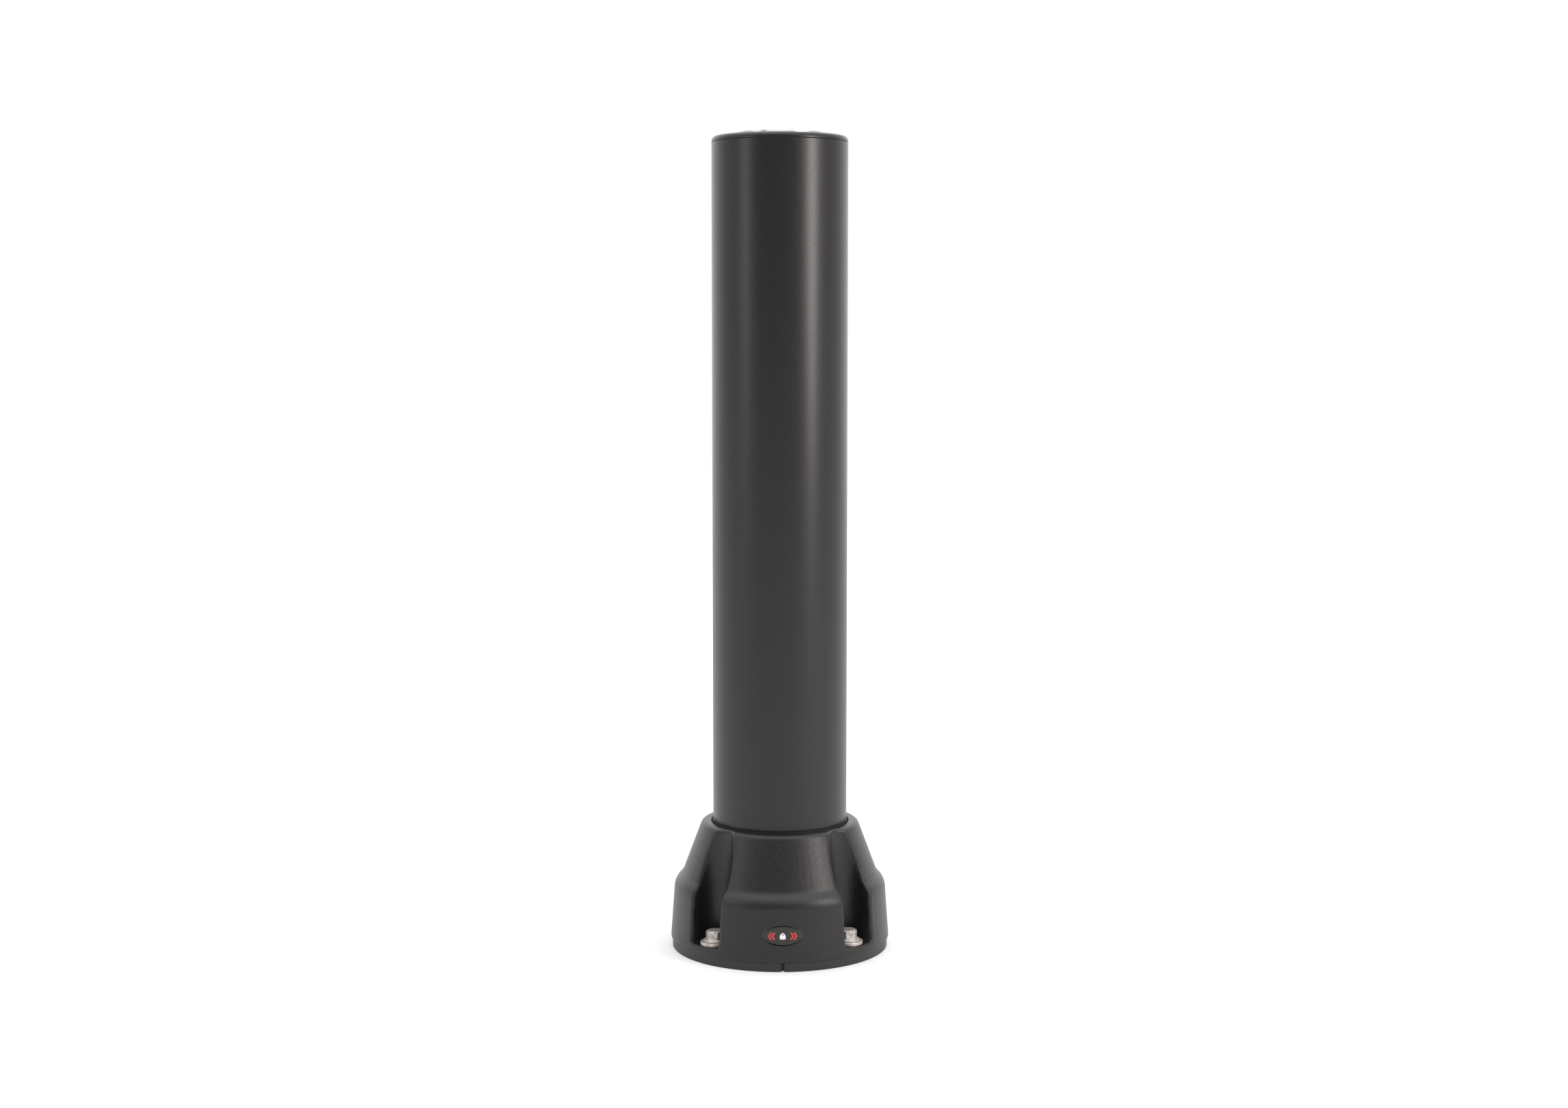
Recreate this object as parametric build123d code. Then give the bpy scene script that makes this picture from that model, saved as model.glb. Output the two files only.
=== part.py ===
from build123d import *
import math
import os

# Driving dimensions in millimetres. The origin is the centre of the base's
# underside, +Z is up, and the button is at the front, on the -Y side.

# base plate and the anchors that hold it
plate_r = 161.3
plate_t = 13.0
anchor_circle_r = 138.0
anchor_shank_r = 8.0
anchor_hole_r = 9.0
anchor_flats = 24.0
anchor_head_t = 16.0
anchor_head_bevel = 2.4
anchor_flange_r = 17.3
anchor_flange_edge_t = 2.0
anchor_flange_t = 4.6
anchor_neck_r = 12.5
washer_r = 21.5
washer_bore_r = 8.6
washer_t = 5.0
drain_slot = 5.0
drain_slot_length = 14.0

# moulded cover
cover_foot_r = 163.9
cover_shoulder_r = 157.9
cover_shoulder_z = 99.1
cover_waist_r = 146.1
cover_waist_z = 110.9
cover_brow_r = 116.4
cover_top_z = 190.0
cover_lip_t = 9.0
cover_mouth_r = 101.8
cover_wall = 5.0
cover_screw_circle_r = 132.0
cover_screw_turn = 18.0
cover_boss_r = 8.0
cover_boss_top_z = 38.0
cover_boss_web = 6.0
cover_boss_web_length = 28.0
button_housing_wall = 7.0
button_housing_depth = 50.0
niche_floor_z = 25.0
niche_half_width = 27.5
niche_round = 3.0

# socket bolted on the plate
socket_bore_r = 84.6
socket_r = 96.0
socket_flange_r = 104.0
socket_flange_t = 10.0
socket_top_z = 176.0
socket_screw_circle_r = 90.3
socket_screw_turn = 22.5
socket_pilot_top_z = 36.0

# turning lock ring at the bottom of the socket
slide_ring_t = 4.7
lock_ring_r = 84.3
lock_ring_bore_r = 72.0
lock_ring_foot_z = 18.0
lock_ring_top_z = 70.0
lock_ring_floor_t = 8.0
lock_ring_eye_r = 44.0
key_width = 12.0
key_inner_r = 60.0
key_foot_z = 34.0
key_top_z = 60.0
key_turn = 22.5
lock_hole_turns = (-135.0, -90.0, -45.0)
lock_hole_r = 5.6
lock_hole_floor_r = 76.0
key_screw_hole_r = 2.6

# bayonet keeper ring in the socket, and the post's lugs under it
keeper_z = 110.0
keeper_t = 12.0
keeper_bore_r = 71.0
keeper_slot_r = 82.3
keeper_slot_angle = 42.0
keeper_screw_hole_r = 3.1
keeper_screw_seat_r = 91.1
lug_r = 81.5
lug_z = 90.0
lug_t = 16.0
lug_angle = 34.0
lug_screw_hole_r = 3.1

# cast foot of the post
stub_r = 70.0
stub_bore_r = 58.0
stub_foot_z = 27.0
plug_r = 82.0
plug_foot_z = 140.0
bush_r = 84.2
flange_r = 100.6
flange_foot_z = 186.5
flange_top_z = 190.6
spigot_bore_r = 78.0
spigot_top_z = 330.0

# tube, cap and tie rod
tube_r = 100.0
tube_wall = 8.0
tube_foot_z = 192.0
tube_top_z = 1193.8
tie_r = 8.0
tie_foot_z = 124.0
tie_washer_r = 15.0
tie_washer_t = 3.0
tie_nut_flats = 24.0
tie_nut_t = 13.0
dome_nut_foot_t = 8.0
dome_nut_r = 10.6
dome_nut_t = 14.0
cap_seam = 0.4
cap_edge_z = 1202.0
cap_edge_round = 8.0
cap_crown_z = 1204.5
cap_well_r = 63.0
cap_floor_z = 1184.8
cap_floor_t = 7.0
cap_skirt_foot_z = 1167.8
cap_skirt_bore_r = 85.0
cap_pan_r = 70.0
cap_rib_foot_z = 1190.0
cap_seal_foot_z = 1178.0
cap_seal_top_z = 1182.0
cap_seal_groove_r = 90.0

# handle plate and the handle folded into it
dish_r = 60.5
dish_floor_z = 1187.0
dish_sheet = 2.0
dish_rim_r = 66.0
dish_rim_top_z = 1208.5
finger_notch = 42.0
dish_screw_circle_r = 38.0
handle_rod_r = 5.0
handle_z = 1202.5
handle_pivot_y = 28.0
handle_bar_y = -46.0
handle_arm_x = 42.0
handle_corner_r = 20.0
handle_eye_r = 6.0
handle_eye_t = 10.6
eye_gap = 0.4
grip_r = 7.0
grip_length = 40.0
hinge_pin_r = 3.0
hinge_head_r = 4.4
hinge_head_t = 1.4
bracket_t = 9.0
bracket_depth = 13.0

# button and lock pin on the front lobe
button_z = 53.0
button_length = 54.5
button_height = 26.5
button_gap = 1.4
button_proud = 0.8
button_back_y = -149.0
guide_back_y = -126.0
guide_front_y = -156.0
guide_wall_t = 3.0
button_boss_r = 8.0
button_boss_t = 12.0
pin_r = 5.0
pin_tip_y = -86.0
pin_head_depth = 2.0
pin_bush_r = 9.0
pin_bush_flange_r = 12.0
pin_bush_flange_t = 3.0
bush_back_y = -86.5
bush_flange_y = -97.0
clip_r = 9.2
clip_t = 1.6
spring_r = 11.0
spring_wire_r = 0.8
spring_turns = 6
inlay_t = 0.7

tube_bore_r = tube_r - tube_wall
bracket_outer_x = handle_arm_x - handle_eye_t / 2 - eye_gap
press_gap = 0.02
snug_gap = 0.05
pin_hole_clearance = 0.08
loose_gap = 0.4
thread_gap = 0.1
body_gap = 0.3
over = 1.0
on_floor = (Align.CENTER, Align.CENTER, Align.MIN)


def disc(r, foot_z, top_z):
    """A round plug on the Z axis."""
    return Pos(0, 0, foot_z) * Cylinder(r, top_z - foot_z, align=on_floor)


def ring(outer_r, inner_r, foot_z, top_z):
    """A plain ring on the Z axis."""
    return disc(outer_r, foot_z, top_z) - disc(inner_r, foot_z - over, top_z + over)


def spun(points, rounds):
    """A solid turned about Z from a closed outline of (radius, height) corners."""
    outline = FilletPolyline(*points, radius=rounds, close=True)
    return revolve(Plane.XZ * make_face(outline), Axis.Z)


def around(piece, first=0.0, count=4):
    """Copies of a piece, evenly spaced about the Z axis."""
    return [Rot(0, 0, first + 360.0 / count * i) * piece for i in range(count)]


def group(pieces):
    """Separate solids kept together as one node."""
    return Compound([solid for piece in pieces for solid in piece.solids()])


def cut(body, tools):
    """The body with every tool taken out of it."""
    for tool in tools:
        body = body - tool
    return body


def sector(outer_r, inner_r, foot_z, top_z, angle):
    """A piece of a ring, centred on the +X axis."""
    half = math.radians(angle / 2)
    corner = Vector(2 * outer_r * math.cos(half), 2 * outer_r * math.sin(half))
    wedge = make_face(Polyline((0, 0), (corner.X, -corner.Y), (corner.X, corner.Y), close=True))
    return ring(outer_r, inner_r, foot_z, top_z) & (Pos(0, 0, foot_z) * extrude(wedge, top_z - foot_z))


def cap_screw(head_r, head_t, shank_r, shank_length):
    """A socket-head screw whose head stands on z = 0 and whose shank points down."""
    recess = Pos(0, 0, head_t / 2) * extrude(RegularPolygon(head_r * 0.55, 6), head_t)
    return disc(head_r, 0, head_t) + disc(shank_r, -shank_length, 0) - recess


def hexagon(flats, foot_z, top_z, bevel):
    """A hexagonal head or nut with its top corners turned off."""
    corner_r = flats / math.sqrt(3)
    prism = Pos(0, 0, foot_z) * extrude(RegularPolygon(corner_r, 6), top_z - foot_z)
    turned = [
        (0, foot_z),
        (corner_r, foot_z),
        (corner_r, top_z - bevel),
        (flats / 2 - bevel / 2, top_z),
        (0, top_z),
    ]
    return prism & spun(turned, [0, 0, 0, 0, 0])


def radial_hole(r, inner_r, outer_r, z):
    """A round cutter along +X, from inner_r out to outer_r."""
    return Pos(inner_r, 0, z) * Rot(0, 90, 0) * Cylinder(r, outer_r - inner_r, align=on_floor)


def along_y(shape, back_y, front_y, x=0.0, z=button_z):
    """A flat shape pushed out towards the front, from back_y to front_y."""
    place = Plane(origin=(x, back_y, z), x_dir=(1, 0, 0), z_dir=(0, -1, 0))
    return extrude(place * shape, back_y - front_y)


def radial_screw(screw, seat_r, z):
    """A screw laid along +X with its head's seat at seat_r, pointing at the Z axis."""
    return Pos(seat_r, 0, z) * Rot(0, 90, 0) * screw


# ---------------------------------------------------------------- base

socket_screw = cap_screw(head_r=6.4, head_t=7.0, shank_r=4.0, shank_length=26.0)
socket_screw_seat_z = 8.0
cover_screw = cap_screw(head_r=5.0, head_t=5.0, shank_r=2.5, shank_length=26.0)
cover_screw_seat_z = 6.0
keeper_screw = cap_screw(head_r=5.0, head_t=4.6, shank_r=3.0, shank_length=15.0)


def base_plate():
    """Thick round plate with anchor holes, counterbored screw holes and a drain slot."""
    plate = disc(plate_r, 0, plate_t)
    anchor = Pos(anchor_circle_r, 0, 0) * disc(anchor_hole_r, -over, plate_t + over)
    tools = around(anchor, 45)
    tools.append(Pos(0, -plate_r, plate_t / 2) * Box(drain_slot, drain_slot_length, plate_t + over))
    for circle_r, turn, head_r, shank_r, seat_z in (
        (socket_screw_circle_r, socket_screw_turn, 6.6, 4.2, socket_screw_seat_z),
        (cover_screw_circle_r, cover_screw_turn, 5.2, 2.7, cover_screw_seat_z),
    ):
        hole = disc(head_r, -over, seat_z) + disc(shank_r, 0, plate_t + over)
        tools += around(Pos(circle_r, 0, 0) * hole, turn)
    return cut(plate, tools)


def screws_from_below(screw, circle_r, turn, seat_z):
    """Four screws that point up from counterbores in the base plate."""
    upright = Pos(circle_r, 0, seat_z) * Rot(180, 0, 0) * screw
    return group(around(upright, turn))


def anchor_bolts():
    """Four hex flange anchor bolts, drawn down to the plate's underside."""
    seat_z = niche_floor_z + washer_t
    head = hexagon(anchor_flats, seat_z + anchor_flange_edge_t, seat_z + anchor_head_t, anchor_head_bevel)
    skirt = [
        (0, seat_z),
        (anchor_flange_r, seat_z),
        (anchor_flange_r, seat_z + anchor_flange_edge_t),
        (anchor_neck_r, seat_z + anchor_flange_t),
        (0, seat_z + anchor_flange_t),
    ]
    bolt = head + spun(skirt, [0, 0.6, 0.8, 0, 0]) + disc(anchor_shank_r, 0, seat_z + over)
    return group(around(Pos(anchor_circle_r, 0, 0) * bolt, 45))


def anchor_washers():
    """Thick washers under the anchor heads."""
    top_z = niche_floor_z + washer_t
    points = [
        (washer_bore_r, niche_floor_z),
        (washer_r, niche_floor_z),
        (washer_r, top_z),
        (washer_bore_r, top_z),
    ]
    washer = spun(points, [0, 0.8, 1.6, 0])
    return group(around(Pos(anchor_circle_r, 0, 0) * washer, 45))


def niche(half_width, floor_z):
    """Cutter for one anchor niche: an upright U-shaped slot open to the outside, on +X."""
    tool = disc(half_width, floor_z, floor_z + 200)
    mouth = Box(80, half_width * 2, 200, align=(Align.MIN, Align.CENTER, Align.MIN))
    return Pos(anchor_circle_r, 0, 0) * (tool + Pos(0, 0, floor_z) * mouth)


def cover_skin():
    """The outside of the cover as one turned solid."""
    points = [
        (cover_mouth_r, plate_t),
        (cover_foot_r, plate_t),
        (cover_shoulder_r, cover_shoulder_z),
        (cover_waist_r, cover_waist_z),
        (cover_brow_r, cover_top_z),
        (cover_mouth_r, cover_top_z),
    ]
    return spun(points, [0, 1.5, 26, 15, 9, 1.2])


def cover_hollow():
    """The space inside the cover's wall, before its webs and bosses."""
    wall = cover_wall
    half = wall / 2
    ceiling_z = cover_top_z - cover_lip_t
    points = [
        (stub_r, plate_t - over),
        (cover_foot_r - wall, plate_t - over),
        (cover_shoulder_r - wall, cover_shoulder_z - half),
        (cover_waist_r - wall, cover_waist_z - half),
        (cover_brow_r - half, ceiling_z),
        (stub_r, ceiling_z),
    ]
    return spun(points, [0, 0, 21, 20, 3, 0])


def niche_mouths(shell):
    """The upright edges where the niches meet the outside of the cover."""
    edges = []
    for edge in shell.edges():
        middle = edge.center()
        reach = math.hypot(middle.X, middle.Y)
        turn = math.atan2(abs(middle.Y), abs(middle.X)) - math.radians(45)
        beside = abs(reach * math.sin(turn))
        upright = niche_floor_z + over < middle.Z < cover_top_z - cover_lip_t
        if upright and reach > 112 and 8 < beside < niche_half_width + over:
            edges.append(edge)
    return edges


def base_cover():
    """Moulded cover: four lobes, four anchor niches, screw bosses and the button's opening."""
    shell = cut(cover_skin(), around(niche(niche_half_width, niche_floor_z), 45))
    shell = shell.fillet(niche_round, niche_mouths(shell))
    corner = (Align.MIN, Align.CENTER, Align.MIN)
    web = Box(cover_boss_web_length, cover_boss_web, cover_boss_top_z, align=corner)
    boss = Pos(cover_screw_circle_r, 0, 0) * (disc(cover_boss_r, 0, cover_boss_top_z) + web)
    wide = button_length + 2 * button_housing_wall
    high = button_height + 2 * button_housing_wall
    housing = Pos(0, -150, button_z) * Box(wide, button_housing_depth, high)
    kept = around(niche(niche_half_width + cover_wall, 0), 45) + around(boss, cover_screw_turn)
    shell = shell - cut(cover_hollow(), kept + [housing])
    anchor = Pos(anchor_circle_r, 0, 0) * disc(anchor_hole_r, 0, niche_floor_z + over)
    pilot = Pos(cover_screw_circle_r, 0, 0) * disc(2.5 + thread_gap, 0, cover_boss_top_z - 4)
    mouth = Ellipse(button_length / 2 + button_gap, button_height / 2 + button_gap)
    opening = along_y(mouth, guide_back_y, -cover_foot_r - over)
    pin_way = along_y(Circle(2 * pin_r), -110, guide_back_y - 4)
    return cut(shell, around(anchor, 45) + around(pilot, cover_screw_turn) + [opening, pin_way])


def keeper_screw_way():
    """Clearance hole through the socket wall for one keeper screw, on +X."""
    middle_z = keeper_z + keeper_t / 2
    counterbore = radial_hole(5.2, keeper_screw_seat_r - 0.1, socket_r + over, middle_z)
    return counterbore + radial_hole(keeper_screw_hole_r, keeper_slot_r, socket_r, middle_z)


def core_socket():
    """Steel socket: a thick sleeve on a flange, bored for the lock pin and the screws."""
    body = ring(socket_r, socket_bore_r, plate_t, socket_top_z)
    body = body + ring(socket_flange_r, socket_bore_r, plate_t, plate_t + socket_flange_t)
    pilot = Pos(socket_screw_circle_r, 0, 0) * disc(4 + thread_gap, plate_t - over, socket_pilot_top_z)
    tools = around(pilot, socket_screw_turn) + around(keeper_screw_way(), 45)
    tools.append(along_y(Circle(pin_bush_r), bush_back_y, -socket_flange_r))
    tools.append(along_y(Circle(pin_r + loose_gap), -lock_ring_bore_r, -socket_flange_r))
    return cut(body, tools)


def keeper_ring():
    """Bayonet keeper: a ring with four slots that let the post's lugs down through it."""
    body = ring(socket_bore_r - 0.1, keeper_bore_r, keeper_z, keeper_z + keeper_t)
    top_z = keeper_z + keeper_t
    slot = sector(keeper_slot_r, keeper_bore_r - over, keeper_z - over, top_z + over, keeper_slot_angle)
    pilot = radial_hole(3 + thread_gap, 73, 87, keeper_z + keeper_t / 2)
    return cut(body, around(slot) + around(pilot, 45))


def keeper_screws():
    """Screws through the socket wall into the keeper ring."""
    return group(around(radial_screw(keeper_screw, keeper_screw_seat_r, keeper_z + keeper_t / 2), 45))


def slide_ring():
    """Plastic thrust washer that the lock ring turns on."""
    return ring(lock_ring_r - body_gap, lock_ring_eye_r, plate_t, plate_t + slide_ring_t)


def landing_buffer():
    """Rubber ring on the socket's rim, under the post's flange."""
    return ring(socket_r, socket_bore_r + 0.6, socket_top_z, flange_foot_z - body_gap)


def collar_seal():
    """Rubber wiper ring held under the lip of the cover's mouth."""
    ceiling_z = cover_top_z - cover_lip_t
    lip = ring(cover_mouth_r - 0.1, socket_r + over, ceiling_z - over, flange_foot_z - 0.6)
    return lip + ring(cover_mouth_r + 1.8, socket_r + over, ceiling_z - 4, ceiling_z - 0.1)


def button_guide():
    """Oval sleeve in the cover that guides the button and carries its spring."""
    sleeve = along_y(Ellipse(button_length / 2 + button_gap - 0.1, button_height / 2 + button_gap - 0.1),
                     guide_back_y, guide_front_y)
    room = along_y(Ellipse(button_length / 2 + body_gap, button_height / 2 + body_gap),
                   guide_back_y - guide_wall_t, guide_front_y - over)
    pin_way = along_y(Circle(pin_r + pin_hole_clearance), guide_back_y + over, guide_front_y)
    return cut(sleeve, [room, pin_way])


def button_spring():
    """Return spring between the guide's back wall and the button."""
    length = abs(button_back_y - guide_back_y + guide_wall_t) - 2 * spring_wire_r - 0.4
    path = Helix(length / spring_turns, length, spring_r)
    wire = Plane(origin=path @ 0, z_dir=path % 0) * Circle(spring_wire_r)
    coil = sweep(wire, path)
    start_y = guide_back_y - guide_wall_t - spring_wire_r - 0.2
    return Pos(0, start_y, button_z) * Rot(90, 0, 0) * coil


def pin_bush():
    """Flanged bush in the socket wall that the lock pin slides through."""
    front_y = bush_flange_y - pin_bush_flange_t
    body = along_y(Circle(pin_bush_r - snug_gap), bush_back_y, bush_flange_y)
    body = body + along_y(Circle(pin_bush_flange_r), bush_flange_y, front_y)
    return body - along_y(Circle(pin_r + pin_hole_clearance), bush_back_y + over, front_y - over)


# ---------------------------------------------------------------- lock ring

key_screw = cap_screw(head_r=4.2, head_t=4.0, shank_r=2.5, shank_length=11.0)
key_screw_seat_r = 79.6
key_middle_z = (key_foot_z + key_top_z) / 2


def lock_ring():
    """Turning cup at the bottom of the socket, with blind holes for the lock pin."""
    body = ring(lock_ring_r, lock_ring_bore_r, lock_ring_foot_z, lock_ring_top_z)
    floor_top_z = lock_ring_foot_z + lock_ring_floor_t
    body = body + ring(lock_ring_bore_r + over, lock_ring_eye_r, lock_ring_foot_z, floor_top_z)
    hole = radial_hole(lock_hole_r, lock_hole_floor_r, lock_ring_r + over, button_z)
    tools = [Rot(0, 0, turn) * hole for turn in lock_hole_turns]
    shank = radial_hole(key_screw_hole_r, lock_ring_bore_r - 2, key_screw_seat_r + over, key_middle_z)
    head = radial_hole(4.2 + thread_gap, key_screw_seat_r, lock_ring_r + over, key_middle_z)
    return cut(body, tools + around(shank + head, key_turn))


def drive_keys():
    """Keys inside the lock ring that make it turn with the post's foot."""
    height = key_top_z - key_foot_z
    block = Box(lock_ring_bore_r - key_inner_r, key_width, height, align=(Align.MIN, Align.CENTER, Align.MIN))
    key = (Pos(key_inner_r, 0, key_foot_z) * block) & disc(lock_ring_bore_r - snug_gap, key_foot_z, key_top_z)
    key = key - radial_hole(key_screw_hole_r, key_inner_r + 3, lock_ring_bore_r + over, key_middle_z)
    return group(around(key, key_turn))


def key_screws():
    """Screws through the lock ring into its keys."""
    return group(around(radial_screw(key_screw, key_screw_seat_r, key_middle_z), key_turn))


# ---------------------------------------------------------------- post

lug_screw_seat_r = stub_bore_r - 0.6
lug_screw = cap_screw(head_r=5.0, head_t=5.0, shank_r=3.0, shank_length=19.0)
lug_middle_z = lug_z + lug_t / 2


def post_foot():
    """Cast foot: keyed stub, plug, the flange that the tube stands on and the spigot inside it."""
    body = ring(stub_r, stub_bore_r, stub_foot_z, plug_foot_z + over)
    body = body + disc(plug_r, plug_foot_z, flange_foot_z + over)
    body = body + disc(flange_r, flange_foot_z, flange_top_z)
    body = body + ring(tube_bore_r - thread_gap, spigot_bore_r, flange_top_z - over, spigot_top_z)
    keyway_height = key_top_z - stub_foot_z + 2
    keyway = Pos(64, 0, stub_foot_z) * Box(20, key_width + 2 * loose_gap, 2 * keyway_height)
    lug_pilot = radial_hole(lug_screw_hole_r + thread_gap, stub_bore_r - 2, stub_r + 2, lug_middle_z)
    tools = around(keyway, key_turn) + around(lug_pilot)
    return cut(body, tools + [disc(tie_r + 0.5, plug_foot_z - over, flange_top_z + over)])


def lock_lugs():
    """Hardened bayonet lugs screwed round the stub."""
    lug = sector(lug_r, stub_r + snug_gap, lug_z, lug_z + lug_t, lug_angle)
    lug = lug - radial_hole(lug_screw_hole_r, stub_r - 5, lug_r - 2.5, lug_middle_z)
    return group(around(lug))


def lug_screws():
    """Screws from inside the stub into the lugs."""
    screw = Pos(lug_screw_seat_r, 0, lug_middle_z) * Rot(0, -90, 0) * lug_screw
    return group(around(screw))


def guide_bush():
    """Plastic bush on the plug that centres the post in the socket."""
    return ring(bush_r, plug_r + snug_gap, plug_foot_z + 2, socket_top_z - 2)


def tube_gasket():
    """Thin gasket between the flange and the tube's end."""
    return ring(tube_r - 0.8, tube_bore_r, flange_top_z, tube_foot_z)


def post_tube():
    """Straight round tube of the post."""
    points = [
        (tube_bore_r, tube_foot_z),
        (tube_r, tube_foot_z),
        (tube_r, tube_top_z),
        (tube_bore_r, tube_top_z),
    ]
    return spun(points, [0, 1.0, 0.8, 0])


def tie_rod():
    """Threaded rod that clamps the cap, tube and foot together."""
    return disc(tie_r, tie_foot_z, dish_floor_z + tie_nut_t)


def tie_nuts():
    """A plain nut under the foot and a domed nut in the handle dish."""
    hole = disc(tie_r + snug_gap, tie_foot_z - over, dish_floor_z + tie_nut_t + 0.2)
    plain = hexagon(tie_nut_flats, tie_foot_z, tie_foot_z + tie_nut_t, 2.0) - hole
    dome_foot_z = dish_floor_z + tie_washer_t
    dome = hexagon(tie_nut_flats, dome_foot_z, dome_foot_z + dome_nut_foot_t, 1.0)
    crown_foot_z = dome_foot_z + dome_nut_foot_t - over
    crown_top_z = dome_foot_z + dome_nut_t
    crown = [(0, crown_foot_z), (dome_nut_r, crown_foot_z), (dome_nut_r, crown_top_z), (0, crown_top_z)]
    return group([plain, (dome + spun(crown, [0, 0, 6.5, 0])) - hole])


def tie_washers():
    """Washers under the two tie rod nuts."""
    lower = ring(tie_washer_r, tie_r + body_gap, plug_foot_z - tie_washer_t, plug_foot_z)
    upper = ring(tie_washer_r, tie_r + body_gap, dish_floor_z, dish_floor_z + tie_washer_t)
    return group([lower, upper])


def top_cap():
    """Moulded cap: skirt inside the tube, round-edged rim and the well for the handle dish."""
    seam_z = tube_top_z + cap_seam
    floor_foot_z = cap_floor_z - cap_floor_t
    points = [
        (tie_r + loose_gap, floor_foot_z),
        (cap_pan_r, floor_foot_z),
        (cap_pan_r, cap_rib_foot_z),
        (cap_skirt_bore_r, cap_rib_foot_z),
        (cap_skirt_bore_r, cap_skirt_foot_z),
        (tube_bore_r - 2 * thread_gap, cap_skirt_foot_z),
        (tube_bore_r - 2 * thread_gap, seam_z),
        (tube_r, seam_z),
        (tube_r, cap_edge_z),
        (cap_well_r, cap_crown_z),
        (cap_well_r, cap_floor_z),
        (tie_r + loose_gap, cap_floor_z),
    ]
    cap = spun(points, [0, 3, 3, 3, 0, 1.5, 0, 0.6, cap_edge_round - 0.6, 0, 0, 0])
    pilot = Pos(dish_screw_circle_r, 0, 0) * disc(2 + thread_gap, floor_foot_z - over, cap_floor_z + over)
    groove = ring(tube_r, cap_seal_groove_r, cap_seal_foot_z, cap_seal_top_z)
    return cut(cap, [groove, *around(pilot)])


def cap_seal():
    """Rubber ring in the groove of the cap's skirt."""
    foot_z = cap_seal_foot_z + thread_gap
    top_z = cap_seal_top_z - thread_gap
    return ring(tube_bore_r - snug_gap, cap_seal_groove_r + snug_gap, foot_z, top_z)


def handle_plate():
    """Pressed round dish that the handle folds into, with a finger notch at the front."""
    wall_r = dish_r + dish_sheet
    rim_foot_z = cap_crown_z + 0.1
    points = [
        (tie_r + loose_gap, dish_floor_z - dish_sheet),
        (wall_r, dish_floor_z - dish_sheet),
        (wall_r, rim_foot_z),
        (dish_rim_r, rim_foot_z),
        (dish_rim_r, dish_rim_top_z),
        (dish_r, dish_rim_top_z),
        (dish_r, dish_floor_z),
        (tie_r + loose_gap, dish_floor_z),
    ]
    dish = spun(points, [0, 4, 0, 0, 2.2, 1.0, 2.5, 0])
    notch = Pos(0, -dish_r, rim_foot_z - 0.6) * Box(finger_notch, 20, 20, align=on_floor)
    pilot = Pos(dish_screw_circle_r, 0, 0) * disc(2.2, dish_floor_z - 5, dish_floor_z + over)
    return cut(dish, [notch, *around(pilot)])


def plate_screws():
    """Button-head screws that hold the dish in the cap."""
    screw = cap_screw(head_r=4.2, head_t=2.6, shank_r=2.0, shank_length=8.0)
    return group(around(Pos(dish_screw_circle_r, 0, dish_floor_z) * screw))


def both_sides(piece):
    """A piece on the +X side and its mirror image."""
    return [piece, mirror(piece, Plane.YZ)]


def handle_brackets():
    """Two blocks on the dish's floor that hold the handle's hinge pins."""
    inner_x = bracket_outer_x - bracket_t
    top_z = handle_z + 5
    foot = Pos(inner_x, handle_pivot_y, dish_floor_z)
    corner = (Align.MIN, Align.CENTER, Align.MIN)
    block = foot * Box(bracket_t, bracket_depth, top_z - dish_floor_z, align=corner)
    block = fillet(block.edges().filter_by(Axis.X).sort_by(Axis.Z)[-2:], 4)
    bore = Cylinder(hinge_pin_r + press_gap, 4 * bracket_t)
    hole = Pos(inner_x, handle_pivot_y, handle_z) * Rot(0, 90, 0) * bore
    return group(both_sides(block - hole))


def hinge_pins():
    """Short pins from the brackets out through the handle's eyes."""
    inner_x = bracket_outer_x - bracket_t
    length = bracket_t + eye_gap + handle_eye_t + eye_gap
    pin = Cylinder(hinge_pin_r, length, align=on_floor)
    head = Pos(0, 0, length) * Cylinder(hinge_head_r, hinge_head_t, align=on_floor)
    return group(both_sides(Pos(inner_x, handle_pivot_y, handle_z) * Rot(0, 90, 0) * (pin + head)))


# ---------------------------------------------------------------- handle


def handle_bail():
    """Bent round bar with an eye on each end."""
    corners = [
        (handle_arm_x, handle_pivot_y),
        (handle_arm_x, handle_bar_y),
        (-handle_arm_x, handle_bar_y),
        (-handle_arm_x, handle_pivot_y),
    ]
    path = Pos(0, 0, handle_z) * FilletPolyline(*corners, radius=handle_corner_r)
    section = Plane(origin=path @ 0, z_dir=path % 0) * Circle(handle_rod_r)
    bar = sweep(section, path)
    eye = Pos(handle_arm_x, handle_pivot_y, handle_z) * Rot(0, 90, 0) * Cylinder(handle_eye_r, handle_eye_t)
    bore = Cylinder(hinge_pin_r + pin_hole_clearance, 4 * handle_arm_x)
    hole = Pos(0, handle_pivot_y, handle_z) * Rot(0, 90, 0) * bore
    for side in both_sides(eye):
        bar = bar + side
    return bar - hole


def handle_grip():
    """Moulded sleeve on the handle's bar."""
    middle = Pos(0, handle_bar_y, handle_z) * Rot(0, 90, 0)
    sleeve = Cylinder(grip_r, grip_length)
    sleeve = fillet(sleeve.edges(), 1.6)
    return middle * (sleeve - Cylinder(handle_rod_r + press_gap, grip_length + over))


# ---------------------------------------------------------------- button


def lobe_skin(stand_off):
    """The lower cone of the cover, grown outwards, as a solid to trim the button's face."""
    slope = (cover_shoulder_r - cover_foot_r) / (cover_shoulder_z - plate_t)
    low_z = button_z - button_height
    high_z = button_z + button_height
    low_r = cover_foot_r + slope * (low_z - plate_t) + stand_off
    high_r = cover_foot_r + slope * (high_z - plate_t) + stand_off
    return spun([(0, low_z), (low_r, low_z), (high_r, high_z), (0, high_z)], [0, 0, 0, 0])


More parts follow.
